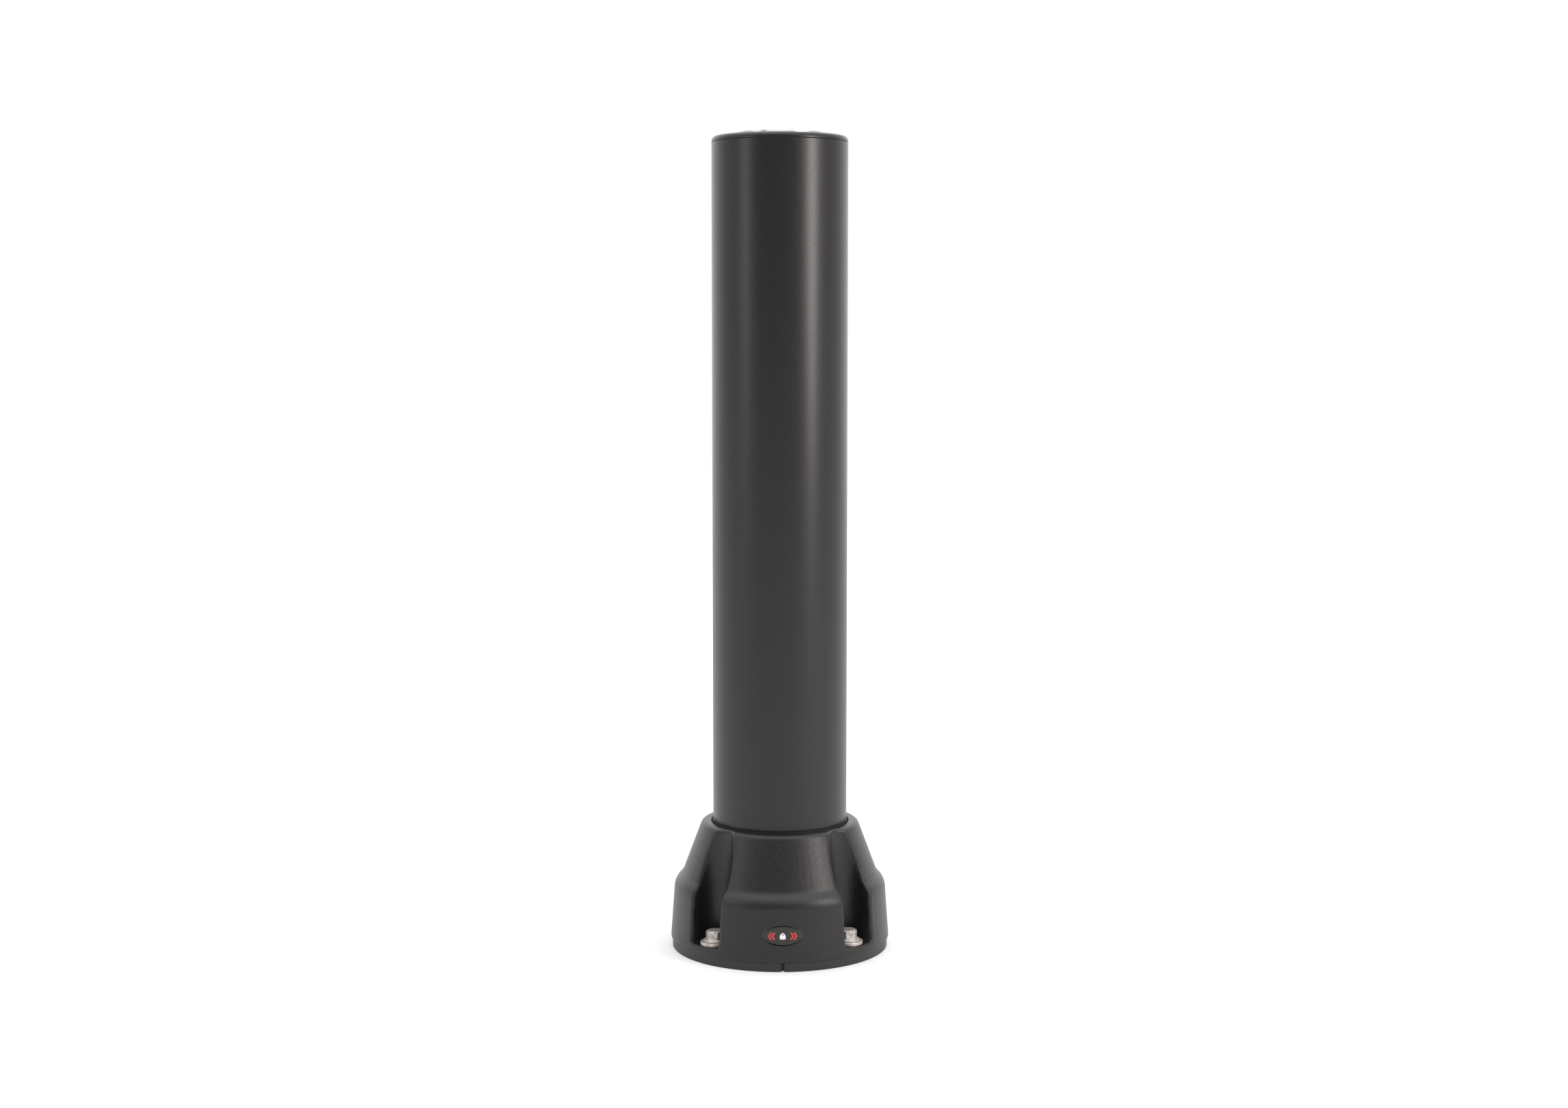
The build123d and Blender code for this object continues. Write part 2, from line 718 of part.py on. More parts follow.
def chevron(tip_x):
    """A flat chevron that points away from the button's middle."""
    half_height = 5.1
    arm = 3.4
    stroke = 2.9
    side = math.copysign(1, tip_x)
    points = [
        (tip_x, 0),
        (tip_x - side * arm, half_height),
        (tip_x - side * (arm + stroke), half_height),
        (tip_x - side * stroke, 0),
        (tip_x - side * (arm + stroke), -half_height),
        (tip_x - side * arm, -half_height),
    ]
    return make_face(Polyline(*points, close=True))


def padlock():
    """A plain closed padlock sign, in two flat pieces: the case and the shackle."""
    case = Pos(0, -1.5) * RectangleRounded(8.4, 6.0, 1.0)
    shackle = Pos(0, 1.5) * (Circle(3.0) - Circle(1.6))
    shackle = shackle + Pos(0, 1.0) * Rectangle(6.0, 1.2) - Pos(0, 0.8) * Rectangle(3.2, 1.6)
    return case + shackle


def inlay(shape):
    """A flat shape laid into the button's curved face."""
    skin = lobe_skin(button_proud + snug_gap) - lobe_skin(button_proud - inlay_t)
    return along_y(shape, -140, -175) & skin


def button_chevrons():
    """Red inlaid chevrons, a pair on each side."""
    return group([inlay(chevron(tip_x)) for tip_x in (-21.4, -16.6, 16.6, 21.4)])


def button_mark():
    """White inlaid padlock sign in the middle of the button."""
    return group([inlay(padlock())])


def button_cap():
    """Oval push button whose face follows the cover, with a boss for the lock pin."""
    body = along_y(Ellipse(button_length / 2, button_height / 2), button_back_y, -175)
    body = body & lobe_skin(button_proud)
    rim = body.faces().sort_by(Axis.Y)[0].edges()
    body = fillet(rim, 1.4)
    body = body + along_y(Circle(button_boss_r), button_back_y + button_boss_t, button_back_y - over)
    pin_foot_y = button_back_y + pin_head_depth
    pin_hole = along_y(Circle(pin_r + press_gap), button_back_y + button_boss_t + over, pin_foot_y)
    return cut(body, [pin_hole, button_chevrons(), button_mark()])


def lock_pin():
    """Steel pin from the button's boss to the lock ring."""
    pin = along_y(Circle(pin_r), pin_tip_y, button_back_y + pin_head_depth)
    return chamfer(pin.edges().sort_by(Axis.Y)[-1:], 1.0)


def pin_clip():
    """Retaining clip on the pin behind the guide's back wall."""
    back_y = guide_back_y + clip_t
    clip = along_y(Circle(clip_r), back_y, guide_back_y + body_gap)
    return clip - along_y(Circle(pin_r + press_gap), back_y + over, guide_back_y - over)


def main():
    """Write one STEP file for each piece."""
    nodes = {
        "base_plate": base_plate(),
        "base_cover": base_cover(),
        "anchor_bolts": anchor_bolts(),
        "anchor_washers": anchor_washers(),
        "core_socket": core_socket(),
        "socket_screws": screws_from_below(
            socket_screw, socket_screw_circle_r, socket_screw_turn, socket_screw_seat_z
        ),
        "cover_screws": screws_from_below(
            cover_screw, cover_screw_circle_r, cover_screw_turn, cover_screw_seat_z
        ),
        "keeper_ring": keeper_ring(),
        "keeper_screws": keeper_screws(),
        "slide_ring": slide_ring(),
        "landing_buffer": landing_buffer(),
        "collar_seal": collar_seal(),
        "button_guide": button_guide(),
        "button_spring": button_spring(),
        "pin_bush": pin_bush(),
        "lock_ring": lock_ring(),
        "drive_keys": drive_keys(),
        "key_screws": key_screws(),
        "post_foot": post_foot(),
        "lock_lugs": lock_lugs(),
        "lug_screws": lug_screws(),
        "guide_bush": guide_bush(),
        "tube_gasket": tube_gasket(),
        "post_tube": post_tube(),
        "tie_rod": tie_rod(),
        "tie_nuts": tie_nuts(),
        "tie_washers": tie_washers(),
        "top_cap": top_cap(),
        "cap_seal": cap_seal(),
        "handle_plate": handle_plate(),
        "plate_screws": plate_screws(),
        "handle_brackets": handle_brackets(),
        "hinge_pins": hinge_pins(),
        "handle_bail": handle_bail(),
        "handle_grip": handle_grip(),
        "button_cap": button_cap(),
        "button_mark": button_mark(),
        "button_chevrons": button_chevrons(),
        "lock_pin": lock_pin(),
        "pin_clip": pin_clip(),
    }
    os.makedirs("parts", exist_ok=True)
    for node, shape in nodes.items():
        export_step(shape, f"parts/{node}.step")


main()
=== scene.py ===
import bmesh
import bpy
import math
from mathutils import Matrix, Vector


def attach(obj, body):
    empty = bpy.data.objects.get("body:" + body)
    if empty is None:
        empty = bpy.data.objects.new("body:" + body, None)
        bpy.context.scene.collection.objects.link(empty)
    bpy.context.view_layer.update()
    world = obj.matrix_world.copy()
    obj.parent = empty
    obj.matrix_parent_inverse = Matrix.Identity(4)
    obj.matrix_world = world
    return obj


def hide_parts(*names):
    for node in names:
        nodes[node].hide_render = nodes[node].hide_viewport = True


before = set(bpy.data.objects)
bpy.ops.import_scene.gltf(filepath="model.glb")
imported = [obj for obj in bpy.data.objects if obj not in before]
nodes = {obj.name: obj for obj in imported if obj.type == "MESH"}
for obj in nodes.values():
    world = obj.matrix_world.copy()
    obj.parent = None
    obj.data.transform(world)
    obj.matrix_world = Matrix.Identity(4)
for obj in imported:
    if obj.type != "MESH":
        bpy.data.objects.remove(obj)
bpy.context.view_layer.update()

# ---------------------------------------------------------------- studio
# The bollard stands on a wide pale floor under an even white sky. Two tall soft
# boxes stand in front of it, a strong one on the right and a weak one on the left.

def collect(obj):
    """Puts a new object in the scene."""
    bpy.context.scene.collection.objects.link(obj)
    return obj


def aimed(spot, target):
    """The turn that points a lamp from a spot at a target."""
    return (target - spot).to_track_quat("-Z", "Y").to_euler()


def soft_box(name, turn, distance, low, high, width, power, colour):
    """A tall panel light, turned about the post from the front and aimed at its middle."""
    data = bpy.data.lights.new(name, "AREA")
    data.shape = "RECTANGLE"
    data.size = width
    data.size_y = high - low
    data.energy = power
    data.color = colour
    lamp = collect(bpy.data.objects.new(name, data))
    middle = (low + high) / 2
    lamp.location = (distance * math.sin(turn), -distance * math.cos(turn), middle)
    lamp.rotation_euler = aimed(lamp.location, Vector((0, 0, middle)))


soft_box("right_soft_box", turn=math.radians(53), distance=2.6, low=0.75, high=2.35, width=0.34,
         power=40, colour=(1.0, 0.93, 0.91))
soft_box("left_soft_box", turn=math.radians(-60), distance=2.8, low=0.7, high=2.3, width=0.5,
         power=9, colour=(1.0, 0.94, 0.92))

sky = bpy.data.worlds.new("sky")
sky.use_nodes = True
bpy.context.scene.world = sky
bpy.context.scene.view_settings.view_transform = "Standard"

view_yaw = math.radians(1.5)
view_pitch = math.radians(5.694)
view_distance = 3.3845
view_height = 0.9274
lens_data = bpy.data.cameras.new("camera")
lens_data.sensor_width = 36.0
lens_data.lens = 52.55
lens_data.shift_x = 0.00268
camera = collect(bpy.data.objects.new("camera", lens_data))
sideways = math.sin(view_yaw)
forwards = math.cos(view_yaw)
camera.location = (-view_distance * sideways, -view_distance * forwards, view_height)
flat_part = math.cos(view_pitch)
ahead = Vector((sideways * flat_part, forwards * flat_part, -math.sin(view_pitch)))
camera.rotation_euler = ahead.to_track_quat("-Z", "Y").to_euler()
bpy.context.scene.camera = camera


class Flow:
    """A value on its way through a shader, which takes part in Python sums."""

    def __init__(self, tree, socket):
        self.tree = tree
        self.socket = socket

    def math(self, operation, first, second):
        """A Math node on two values, at least one of them a flow."""
        node = self.tree.nodes.new("ShaderNodeMath")
        node.operation = operation
        feed(self.tree, node.inputs[0], first)
        feed(self.tree, node.inputs[1], second)
        return Flow(self.tree, node.outputs[0])

    def __add__(self, other):
        return self.math("ADD", self, other)

    def __radd__(self, other):
        return self.math("ADD", other, self)

    def __sub__(self, other):
        return self.math("SUBTRACT", self, other)

    def __rsub__(self, other):
        return self.math("SUBTRACT", other, self)

    def __mul__(self, other):
        return self.math("MULTIPLY", self, other)

    def __rmul__(self, other):
        return self.math("MULTIPLY", other, self)


def feed(tree, socket, value):
    """Links a flow to a socket, or sets the socket to a plain value."""
    if isinstance(value, Flow):
        tree.links.new(value.socket, socket)
    else:
        socket.default_value = value


class Finish:
    """A material, or the sky, with one method that adds a node."""

    def __init__(self, holder):
        holder.use_nodes = True
        self.holder = holder
        self.tree = holder.node_tree
        self.tree.nodes.clear()

    def add(self, kind, settings=None, sockets=None, output=0):
        """A node of a kind: its settings first, then its sockets' values or links."""
        node = self.tree.nodes.new("ShaderNode" + kind)
        for key, value in (settings or {}).items():
            setattr(node, key, value)
        for key, value in (sockets or {}).items():
            feed(self.tree, node.inputs[key], value)
        return Flow(self.tree, node.outputs[output]) if node.outputs else None

    def place(self):
        """The point on the piece, in metres."""
        return self.add("TexCoord", output="Object")

    def noise(self, size, detail=3.0, roughness=0.6, stretch=(1.0, 1.0, 1.0)):
        """Cloudy noise from 0 to 1 whose blots are about one size, in metres."""
        point = self.add("Mapping", None, {"Vector": self.place(), "Scale": stretch})
        return self.add("TexNoise", None, {"Vector": point, "Scale": 1.0 / size, "Detail": detail,
                                           "Roughness": roughness})

    def blend(self, amount, low, high):
        """A colour between two colours."""
        return self.add("Mix", {"data_type": "RGBA"}, {0: amount, 6: low, 7: high}, output=2)

    def spread(self, amount, low, high, floor=0.0, ceiling=1.0):
        """A value moved from one range to another, clamped."""
        return self.add("MapRange", None, {0: amount, 1: low, 2: high, 3: floor, 4: ceiling})

    def bump(self, height, distance):
        """Relief from a height of 0 to 1 and its full depth in metres."""
        return self.add("Bump", None, {"Height": height, "Distance": distance, "Strength": 1.0})

    def surface(self, **sockets):
        """The finished surface, from the shader's sockets by name."""
        named = {key.replace("_", " "): value for key, value in sockets.items()}
        shader = self.add("BsdfPrincipled", None, named)
        self.add("OutputMaterial", None, {"Surface": shader})
        return self.holder


def new_finish(name):
    """An empty material of that name."""
    return Finish(bpy.data.materials.new(name))


def wear(piece, material):
    """Puts one material all over a piece."""
    piece.data.materials.clear()
    piece.data.materials.append(material)


# The sky lights the post evenly, less from the side that the camera stands on, more from
# behind the post and most from overhead. Where the camera sees it, it is plain white.
even_light = 0.68
front_loss = 0.5
back_gain = 1.0
top_gain = 1.5
white = (1, 1, 1, 1)
air = Finish(sky)
direction = air.add("TexCoord", output="Generated")
upward = air.add("SeparateXYZ", None, {0: direction}, output=2)
along = air.add("SeparateXYZ", None, {0: direction}, output=1)
facing = air.spread(along * -1.0, 0.1, 0.8)
behind = air.spread(along, 0.25, 0.95)
overhead = air.spread(upward, 0.55, 0.9)
light_level = even_light - front_loss * facing + back_gain * behind + top_gain * overhead
lit = air.add("Background", None, {"Color": white, "Strength": light_level})
seen = air.add("Background", None, {"Color": white, "Strength": 1.0})
eye = air.add("LightPath", output="Is Camera Ray")
both = air.add("MixShader", None, {0: eye, 1: lit, 2: seen})
air.add("OutputWorld", None, {"Surface": both})

floor_r = 9.0
floor_albedo = 0.66
floor_glow = 0.25
floor_mesh = bmesh.new()
bmesh.ops.create_circle(floor_mesh, cap_ends=True, segments=96, radius=floor_r)
floor_data = bpy.data.meshes.new("floor")
floor_mesh.to_mesh(floor_data)
floor_mesh.free()
floor = collect(bpy.data.objects.new("floor", floor_data))
ground = new_finish("pale_floor")
wear(floor, ground.surface(Base_Color=(floor_albedo, floor_albedo, floor_albedo, 1), Roughness=0.8,
                           Specular_IOR_Level=0.1, Emission_Color=white,
                           Emission_Strength=floor_glow))


# ---------------------------------------------------------------- base plate
# A round steel plate, cut out, drilled and powder coated in a blue-black. It lies on the
# floor under the cover and shows as a thin band round the foot.

coat_colour = (0.0165, 0.0168, 0.0188, 1)
faded_coat = (0.0225, 0.0228, 0.0250, 1)
settled_dust = (0.040, 0.039, 0.039, 1)


def clad(material, *names):
    """Puts a material on carried-over parts."""
    for name in names:
        wear(nodes[name], material)


def powder_coat():
    """Blue-black powder coat with a fine orange peel and dust in patches."""
    f = new_finish("plate_coat")
    drift = f.noise(0.04)
    peel = f.noise(0.0018, detail=2.0)
    dust = f.spread(f.noise(0.02, detail=5.0), 0.55, 0.8)
    colour = f.blend(drift, coat_colour, faded_coat)
    colour = f.blend(dust * 0.3, colour, settled_dust)
    return f.surface(Base_Color=colour, Roughness=f.spread(drift, 0.3, 0.7, 0.42, 0.52),
                     Normal=f.bump(peel, 0.00006))


clad(powder_coat(), "base_plate")


# ---------------------------------------------------------------- socket and its fasteners
# A thick turned steel sleeve welded to a flange, and the keeper ring screwed inside it. Both
# keep the fine rings of the lathe. The screws that hold them are bright zinc plated.

def grey(level, warmth=0.0):
    """A grey colour, a little warm or, below nought, a little blue."""
    return (level * (1 + warmth), level, level * (1 - warmth), 1.0)


def turned_steel():
    """Bare steel with lathe rings, lighter and duller where the oil has dried."""
    f = new_finish("turned_steel")
    rings = f.noise(0.0009, detail=1.0, stretch=(0.04, 0.04, 1.0))
    cloud = f.noise(0.03, detail=4.0)
    oil = f.spread(cloud, 0.35, 0.7)
    colour = f.blend(oil, grey(0.30, 0.02), grey(0.42, 0.0))
    return f.surface(Base_Color=colour, Metallic=1.0, Roughness=f.spread(oil, 0, 1, 0.28, 0.42),
                     Normal=f.bump(rings, 0.00003))


def screw_zinc():
    """Bright zinc plating with a faint spangle."""
    f = new_finish("screw_zinc")
    spangle = f.noise(0.0025, detail=3.0)
    colour = f.blend(spangle, grey(0.46, -0.02), grey(0.60, 0.03))
    return f.surface(Base_Color=colour, Metallic=1.0,
                     Roughness=f.spread(spangle, 0.3, 0.7, 0.30, 0.44),
                     Normal=f.bump(spangle, 0.00002))


screw_plating = screw_zinc()
clad(turned_steel(), "core_socket", "keeper_ring")
clad(screw_plating, "socket_screws", "cover_screws", "keeper_screws")


# ---------------------------------------------------------------- bushes and slide ring
# Machined from off-white acetal bar. The faces that rub are a little polished, and the
# grease on them has picked up some grey.

acetal_white = (0.60, 0.585, 0.54, 1)
greased = (0.28, 0.27, 0.25, 1)


def acetal():
    """Off-white plastic with tool marks, grey and smoother where it is greased."""
    f = new_finish("acetal_bush")
    grease = f.spread(f.noise(0.018, detail=5.0), 0.5, 0.75)
    cuts = f.noise(0.0007, detail=1.0, stretch=(0.05, 0.05, 1.0))
    colour = f.blend(grease * 0.6, acetal_white, greased)
    return f.surface(Base_Color=colour, Roughness=f.spread(grease, 0, 1, 0.45, 0.25),
                     Normal=f.bump(cuts, 0.00002))


clad(acetal(), "slide_ring", "pin_bush", "guide_bush", "button_guide")


# ---------------------------------------------------------------- rubber rings
# The landing buffer, the wiper under the cover's mouth and the two gaskets are cut or
# moulded from black rubber with a dull, slightly bloomed skin.

def black_rubber():
    """Dull black, greyer and rougher where the rubber has bloomed."""
    f = new_finish("black_rubber")
    bloom = f.spread(f.noise(0.012, detail=5.0), 0.45, 0.8)
    skin_grain = f.noise(0.0006, detail=2.0)
    colour = f.blend(bloom, grey(0.010), grey(0.022, 0.02))
    return f.surface(Base_Color=colour, Roughness=f.spread(bloom, 0, 1, 0.62, 0.78),
                     Normal=f.bump(skin_grain, 0.00004))


clad(black_rubber(), "landing_buffer", "collar_seal", "tube_gasket", "cap_seal")


# ---------------------------------------------------------------- moulded cover
# A tough black plastic moulding with four lobes and four deep niches for the anchors. Every
# mouth edge is generously rounded, and the mould has a fine leather grain all over.

cover_profile = [(0.013, 0.1639), (0.0991, 0.1579), (0.1109, 0.1461), (0.190, 0.1164)]
cover_wall = 0.005
niche_turn = math.radians(45)
niche_circle_r = 0.138
niche_r = 0.0275
niche_floor_z = 0.025
niche_floor_keep = 0.002
edge_reach = 0.014
edge_fade = 0.007
inner_depth = 0.003
inner_gap = 0.0035
inner_top_z = 0.182
weld_gap = 0.00001
skin_step = 0.002
mouth_passes = 12
calm_passes = 2
inner_share = 0.62
crease_turn = math.radians(50)
button_z = 0.053
opening_length = 0.0573
opening_height = 0.0293
opening_back_y = -0.1465
opening_front_y = -0.170
opening_sides = 96
patch_low_z = 0.036
patch_high_z = 0.070
patch_turn = math.radians(26)
patch_steps = 16


def skin_r(z):
    """The cover's outside radius at a height, before its edges are rounded."""
    for (low_z, low_r), (high_z, high_r) in zip(cover_profile, cover_profile[1:]):
        if z <= high_z:
            return low_r + (high_r - low_r) * (z - low_z) / (high_z - low_z)
    return cover_profile[-1][1]


def past_niche(point):
    """How far a point stands outside the nearest niche's upright U, negative inside it."""
    reach = math.hypot(point.x, point.y)
    turn = math.atan2(abs(point.y), abs(point.x)) - niche_turn
    along = reach * math.cos(turn)
    beside = abs(reach * math.sin(turn))
    if along > niche_circle_r:
        return beside - niche_r
    return math.hypot(along - niche_circle_r, beside) - niche_r


def unit(value):
    """A value held between 0 and 1."""
    return max(0.0, min(1.0, value))


def mouth_nearness(point):
    """1 on the niche's upright mouth edges, falling to 0 a little way off."""
    gap = max(abs(math.hypot(point.x, point.y) - skin_r(point.z)), abs(past_niche(point)))
    above_floor = point.z - niche_floor_z - niche_floor_keep
    return unit((edge_reach - gap) / edge_fade) * unit(above_floor / edge_fade)


def is_inside(point):
    """True for the cover's hidden inner face, which needs no fine mesh."""
    deep = math.hypot(point.x, point.y) < skin_r(point.z) - inner_depth
    return deep and past_niche(point) > inner_gap and point.z < inner_top_z


def merged_copy(name):
    """The start of a new piece: a carried-over part's mesh with its seams closed."""
    work = bmesh.new()
    work.from_mesh(nodes[name].data)
    bmesh.ops.remove_doubles(work, verts=work.verts, dist=weld_gap)
    return work


def as_piece(work, name):
    """A new piece from finished mesh work."""
    mesh = bpy.data.meshes.new(name)
    work.to_mesh(mesh)
    work.free()
    return collect(bpy.data.objects.new(name, mesh))


def settle(piece):
    """Makes the modifiers' result the piece's own mesh."""
    bpy.context.view_layer.update()
    view = bpy.context.evaluated_depsgraph_get()
    finished = bpy.data.meshes.new_from_object(piece.evaluated_get(view))
    piece.modifiers.clear()
    piece.data = finished


def mark(piece, name, strength):
    """A vertex group with a strength for each point of the mesh."""
    chosen = piece.vertex_groups.new(name=name)
    for vertex in piece.data.vertices:
        value = strength(vertex.co)
        if value > 0:
            chosen.add([vertex.index], value, "REPLACE")
    return name


def soften(piece, name, repeat, group=""):
    """Rounds a mesh by smoothing it, everywhere or only in a group."""
    step = piece.modifiers.new(name, "SMOOTH")
    step.factor = 0.5
    step.iterations = repeat
    step.vertex_group = group


def finish_faces(piece, crease):
    """Smooth shading, with a hard line wherever the surface turns by more than an angle."""
    piece.data.shade_smooth()
    piece.data.set_sharp_from_angle(angle=crease)


def oval_cutter(name, length, height, back_y, front_y):
    """An oval bar along Y at the button's height."""
    work = bmesh.new()
    end = bmesh.ops.create_circle(work, cap_ends=True, segments=opening_sides, radius=0.5)["verts"]
    upright = Matrix.Rotation(math.radians(90), 3, "X")
    bmesh.ops.scale(work, vec=(length, height, 1), verts=end)
    bmesh.ops.rotate(work, cent=(0, 0, 0), matrix=upright, verts=end)
    bmesh.ops.translate(work, vec=(0, back_y, button_z), verts=end)
    pushed = bmesh.ops.extrude_face_region(work, geom=work.faces[:], use_keep_orig=True)
    moved = [part for part in pushed["geom"] if isinstance(part, bmesh.types.BMVert)]
    bmesh.ops.translate(work, vec=(0, front_y - back_y, 0), verts=moved)
    bmesh.ops.recalc_face_normals(work, faces=work.faces)
    return as_piece(work, name)


def fill_opening(work):
    """Closes the button's rough opening with a curved patch of wall, to be cut again cleanly."""
    outline = [(patch_low_z, cover_wall), (patch_low_z, 0),
               (patch_high_z, 0), (patch_high_z, cover_wall)]
    corners = [work.verts.new((0, inset - skin_r(z), z)) for z, inset in outline]
    face = work.faces.new(corners)
    start = Matrix.Rotation(-patch_turn / 2, 3, "Z")
    bmesh.ops.rotate(work, verts=corners, cent=(0, 0, 0), matrix=start)
    bmesh.ops.spin(work, geom=[face, *corners, *face.edges], cent=(0, 0, 0), axis=(0, 0, 1),
                   angle=patch_turn, steps=patch_steps)


def moulded_cover():
    """The cover with an even fine skin, soft niche mouths and a clean opening for the button."""
    work = merged_copy("base_cover")
    fill_opening(work)
    cover = as_piece(work, "moulded_cover")
    skin = cover.modifiers.new("skin", "REMESH")
    skin.mode = "VOXEL"
    skin.voxel_size = skin_step
    settle(cover)
    soften(cover, "round_mouths", mouth_passes, mark(cover, "mouth_edges", mouth_nearness))
    soften(cover, "calm", calm_passes)
    settle(cover)
    thin = cover.modifiers.new("thin_inside", "DECIMATE")
    thin.vertex_group = mark(cover, "hidden", lambda point: 1.0 if is_inside(point) else 0.0)
    thin.ratio = inner_share
    settle(cover)
    cutter = oval_cutter("opening_cutter", opening_length, opening_height,
                         opening_back_y, opening_front_y)
    hole = cover.modifiers.new("opening", "BOOLEAN")
    hole.operation = "DIFFERENCE"
    hole.solver = "EXACT"
    hole.object = cutter
    settle(cover)
    bpy.data.objects.remove(cutter)
    cover.vertex_groups.clear()
    finish_faces(cover, crease_turn)
    return cover


cover_black = (0.0066, 0.0063, 0.0062, 1)
rubbed_black = (0.0094, 0.0089, 0.0088, 1)
grain_tip = (0.0200, 0.0191, 0.0188, 1)
cells_per_metre = 620.0
grain_depth = 0.00016


def leather_grain():
    """Black plastic whose moulded grain is lighter and duller at its tips."""
    f = new_finish("cover_black")
    cloud = f.noise(0.06, detail=4.0)
    cells = f.add("TexVoronoi", {"feature": "SMOOTH_F1"},
                  {"Vector": f.place(), "Scale": cells_per_metre})
    pebble = f.noise(0.0015, detail=3.0)
    grain = cells * 0.5 + pebble
    rubbed = f.spread(cloud, 0.40, 0.75)
    colour = f.blend(rubbed, cover_black, rubbed_black)
    colour = f.blend(f.spread(pebble, 0.40, 0.70) * 0.75, colour, grain_tip)
    return f.surface(Base_Color=colour, Roughness=f.spread(pebble, 0.35, 0.65, 0.34, 0.47),
                     Normal=f.bump(grain, grain_depth))


cover = moulded_cover()
wear(cover, leather_grain())
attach(cover, "base")
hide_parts("base_cover")


# ---------------------------------------------------------------- anchors
# Four forged hex flange bolts on thick washers, hot-dip galvanised. The dip leaves soft
# edges, a mottled warm grey and slightly darker faces where the zinc has dulled.

flat_turn = math.radians(1)
dipped_edge = 0.0005
dipped_edge_steps = 3
least_edge_turn = math.radians(28)
fresh_zinc = (0.62, 0.575, 0.545, 1)
dull_zinc = (0.40, 0.365, 0.345, 1)
rust = (0.24, 0.135, 0.085, 1)


def galvanised():
    """Mottled hot-dip zinc with a few rusty spots."""
    f = new_finish("anchor_zinc")
    mottle = f.noise(0.006, detail=5.0, roughness=0.7)
    pits = f.noise(0.0011, detail=3.0)
    dull = f.spread(mottle, 0.42, 0.62)
    colour = f.blend(dull, fresh_zinc, dull_zinc)
    rusty = f.spread(f.noise(0.009, detail=6.0, roughness=0.8), 0.60, 0.74)
    colour = f.blend(rusty * 0.5, colour, rust)
    return f.surface(Base_Color=colour, Metallic=f.spread(dull, 0, 1, 0.75, 0.45),
                     Roughness=f.spread(mottle, 0.3, 0.7, 0.40, 0.60), Normal=f.bump(pits, 0.00010))


def dipped_bolts():
    """The bolts with their flat faces made whole and their edges rounded by the dip."""
    work = merged_copy("anchor_bolts")
    bmesh.ops.dissolve_limit(work, angle_limit=flat_turn, verts=work.verts, edges=work.edges,
                             use_dissolve_boundaries=False, delimit={"NORMAL"})
    bolts = as_piece(work, "dipped_anchor_bolts")
    edge = bolts.modifiers.new("soft_edges", "BEVEL")
    edge.width = dipped_edge
    edge.segments = dipped_edge_steps
    edge.limit_method = "ANGLE"
    edge.angle_limit = least_edge_turn
    settle(bolts)
    finish_faces(bolts, crease_turn)
    return bolts


anchor_zinc = galvanised()
bolts = dipped_bolts()
wear(bolts, anchor_zinc)
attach(bolts, "base")
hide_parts("anchor_bolts")
clad(anchor_zinc, "anchor_washers")


# ---------------------------------------------------------------- lock button
# An oval push button moulded in smooth black plastic, with a white padlock sign and red
# chevrons moulded into its face. Behind it are a wound spring, the lock pin and its clip.

button_black = (0.017, 0.0168, 0.0165, 1)
handled_black = (0.026, 0.0255, 0.025, 1)
sign_white = (0.86, 0.85, 0.83, 1)
handled_white = (0.62, 0.60, 0.57, 1)
chevron_red = (0.62, 0.045, 0.035, 1)
handled_red = (0.42, 0.035, 0.03, 1)


def button_plastic():
    """Smooth black plastic, a little cloudy from fingers."""
    f = new_finish("button_black")
    cloud = f.noise(0.012, detail=4.0)
    colour = f.blend(cloud, button_black, handled_black)
    return f.surface(Base_Color=colour, Roughness=f.spread(cloud, 0.3, 0.7, 0.32, 0.42),
                     Normal=f.bump(f.noise(0.0009, detail=2.0), 0.00003))


def inlay_plastic(name, colour, dulled):
    """A coloured inlay that has dulled where it is handled."""
    f = new_finish(name)
    handled = f.spread(f.noise(0.004, detail=5.0), 0.4, 0.75)
    return f.surface(Base_Color=f.blend(handled * 0.6, colour, dulled),
                     Roughness=f.spread(handled, 0, 1, 0.36, 0.50),
                     Normal=f.bump(f.noise(0.0008, detail=2.0), 0.00002))


def spring_wire():
    """Drawn steel wire, finely mottled."""
    f = new_finish("spring_wire")
    drawn = f.noise(0.0008, detail=3.0)
    return f.surface(Base_Color=f.blend(drawn, grey(0.30), grey(0.44)), Metallic=1.0,
                     Roughness=f.spread(drawn, 0.3, 0.7, 0.25, 0.38), Normal=f.bump(drawn, 0.00001))


clad(button_plastic(), "button_cap")
clad(inlay_plastic("mark_white", sign_white, handled_white), "button_mark")
clad(inlay_plastic("mark_red", chevron_red, handled_red), "button_chevrons")
clad(spring_wire(), "button_spring", "lock_pin", "pin_clip")


# ---------------------------------------------------------------- turning lock ring
# A machined steel cup with its keys screwed in, blackened in oil so that it doesn't rust
# in the wet bottom of the socket. It has rubbed back to bare steel in patches.

def oil_black():
    """Oil-blackened steel, bare in patches, with turned rings."""
    f = new_finish("oil_black_steel")
    rings = f.noise(0.0008, detail=2.0, stretch=(0.05, 0.05, 1.0))
    patchy = f.noise(0.015, detail=5.0, roughness=0.7)
    rubbed = f.spread(patchy, 0.58, 0.72)
    return f.surface(Base_Color=f.blend(rubbed, grey(0.035, -0.05), grey(0.22)), Metallic=0.9,
                     Roughness=f.spread(patchy, 0.3, 0.7, 0.34, 0.50),
                     Normal=f.bump(rings, 0.00003))


clad(oil_black(), "lock_ring", "drive_keys", "lock_lugs")
clad(screw_plating, "key_screws", "lug_screws")


# ---------------------------------------------------------------- foot of the post
# A sand-cast aluminium foot, machined where it fits the socket. The tie rod, its nuts and
# their washers clamp the foot, the tube and the cap together. The flange is painted black.

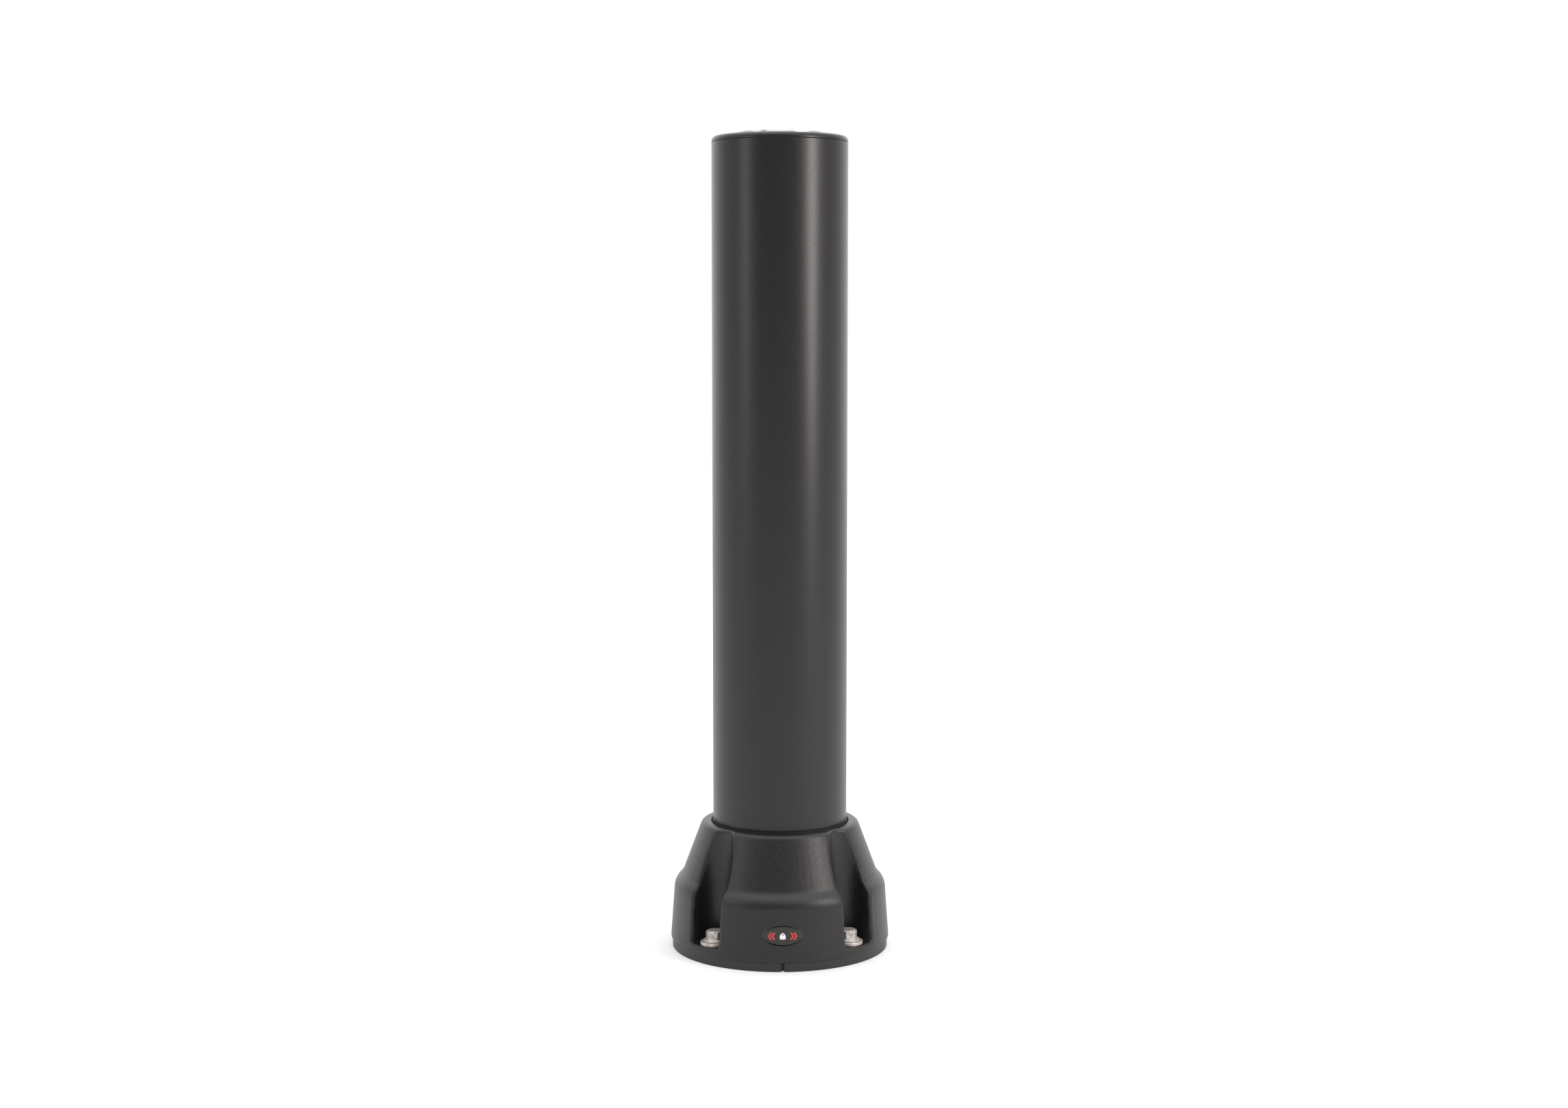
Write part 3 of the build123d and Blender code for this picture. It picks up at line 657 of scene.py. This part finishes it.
coated_from_z = 0.186
coat_edge = 0.0003
flange_paint = (0.017, 0.0165, 0.0165, 1)
faded_paint = (0.026, 0.0255, 0.0255, 1)


def cast_alloy():
    """Sandy cast aluminium, painted black above a height."""
    f = new_finish("cast_alloy")
    sand = f.noise(0.0016, detail=4.0)
    cloud = f.noise(0.025, detail=4.0)
    height = f.add("SeparateXYZ", None, {0: f.place()}, output=2)
    coated = f.spread(height, coated_from_z, coated_from_z + coat_edge)
    bare = f.blend(cloud, grey(0.36, -0.01), grey(0.50, 0.01))
    paint = f.blend(cloud, flange_paint, faded_paint)
    return f.surface(Base_Color=f.blend(coated, bare, paint), Metallic=0.95 - 0.95 * coated,
                     Roughness=f.spread(cloud, 0.3, 0.7, 0.42, 0.58), Normal=f.bump(sand, 0.00008))


clad(cast_alloy(), "post_foot")
clad(screw_plating, "tie_rod", "tie_washers")


# ---------------------------------------------------------------- post tube
# A straight thick-walled tube, extruded in black plastic. Its satin skin is drawn along the
# length and has a fine grain that breaks up the light.

tube_black = (0.0078, 0.0073, 0.0071, 1)
faded_black = (0.0104, 0.0098, 0.0095, 1)
fleck_black = (0.0170, 0.0160, 0.0157, 1)


def tube_skin(name, drawn):
    """The black plastic. Below 1, drawn stretches its clouds along the post."""
    f = new_finish(name)
    cloud = f.noise(0.08, detail=3.0, stretch=(1, 1, drawn))
    grain = f.noise(0.0016, detail=3.0)
    fine = f.noise(0.0008, detail=2.0)
    colour = f.blend(cloud, tube_black, faded_black)
    colour = f.blend(f.spread(grain, 0.35, 0.75) * 0.35, colour, fleck_black)
    return f.surface(Base_Color=colour, Roughness=f.spread(grain, 0.3, 0.7, 0.30, 0.38),
                     Normal=f.bump(grain + fine * 0.4, 0.00006))


clad(tube_skin("tube_black", 0.2), "post_tube")


# ---------------------------------------------------------------- top cap
# The cap is moulded in the same black plastic as the tube, with a round edge and a well for
# the handle's dish. Its seal hides in a groove below the seam.

clad(tube_skin("cap_black", 1.0), "top_cap")


# ---------------------------------------------------------------- handle dish
# A pressed stainless dish with a satin skin, held by four button-head screws. Two blocks on
# its floor carry the handle on short pins.

def satin_stainless():
    """Satin stainless with a fine tooth and a slight haze."""
    f = new_finish("dish_steel")
    tooth = f.noise(0.0012, detail=2.0, stretch=(1.0, 1.0, 0.1))
    haze = f.noise(0.02, detail=4.0)
    colour = f.blend(haze, grey(0.66, 0.01), grey(0.80, 0.01))
    return f.surface(Base_Color=colour, Metallic=1.0,
                     Roughness=f.spread(tooth, 0.3, 0.7, 0.30, 0.46),
                     Normal=f.bump(tooth, 0.00002))


dish_steel = satin_stainless()
clad(dish_steel, "handle_plate", "handle_brackets", "hinge_pins", "plate_screws", "tie_nuts")


# ---------------------------------------------------------------- folding handle
# A stainless rod bent into a bail, polished by hands, with a light grey moulded grip on the
# bar that lies just inside the dish's finger notch.

def polished_rod():
    """Polished stainless with hairline scratches."""
    f = new_finish("handle_steel")
    hairline = f.noise(0.0016, detail=3.0)
    haze = f.noise(0.014, detail=4.0)
    return f.surface(Base_Color=f.blend(haze, grey(0.62), grey(0.74, 0.01)), Metallic=1.0,
                     Roughness=f.spread(haze, 0.3, 0.7, 0.20, 0.34),
                     Normal=f.bump(hairline, 0.00001))


grip_grey = (0.70, 0.70, 0.69, 1)
gripped_grey = (0.55, 0.545, 0.535, 1)
pimples_per_metre = 900.0


def soft_grip():
    """Light grey pimpled plastic, darker and smoother where hands hold it."""
    f = new_finish("grip_grey")
    handled = f.spread(f.noise(0.006, detail=5.0), 0.45, 0.8)
    pimple = f.add("TexVoronoi", None, {"Vector": f.place(), "Scale": pimples_per_metre})
    colour = f.blend(handled * 0.7, grip_grey, gripped_grey)
    return f.surface(Base_Color=colour, Roughness=f.spread(handled, 0, 1, 0.58, 0.46),
                     Normal=f.bump(pimple, 0.00010))


clad(polished_rod(), "handle_bail")
clad(soft_grip(), "handle_grip")
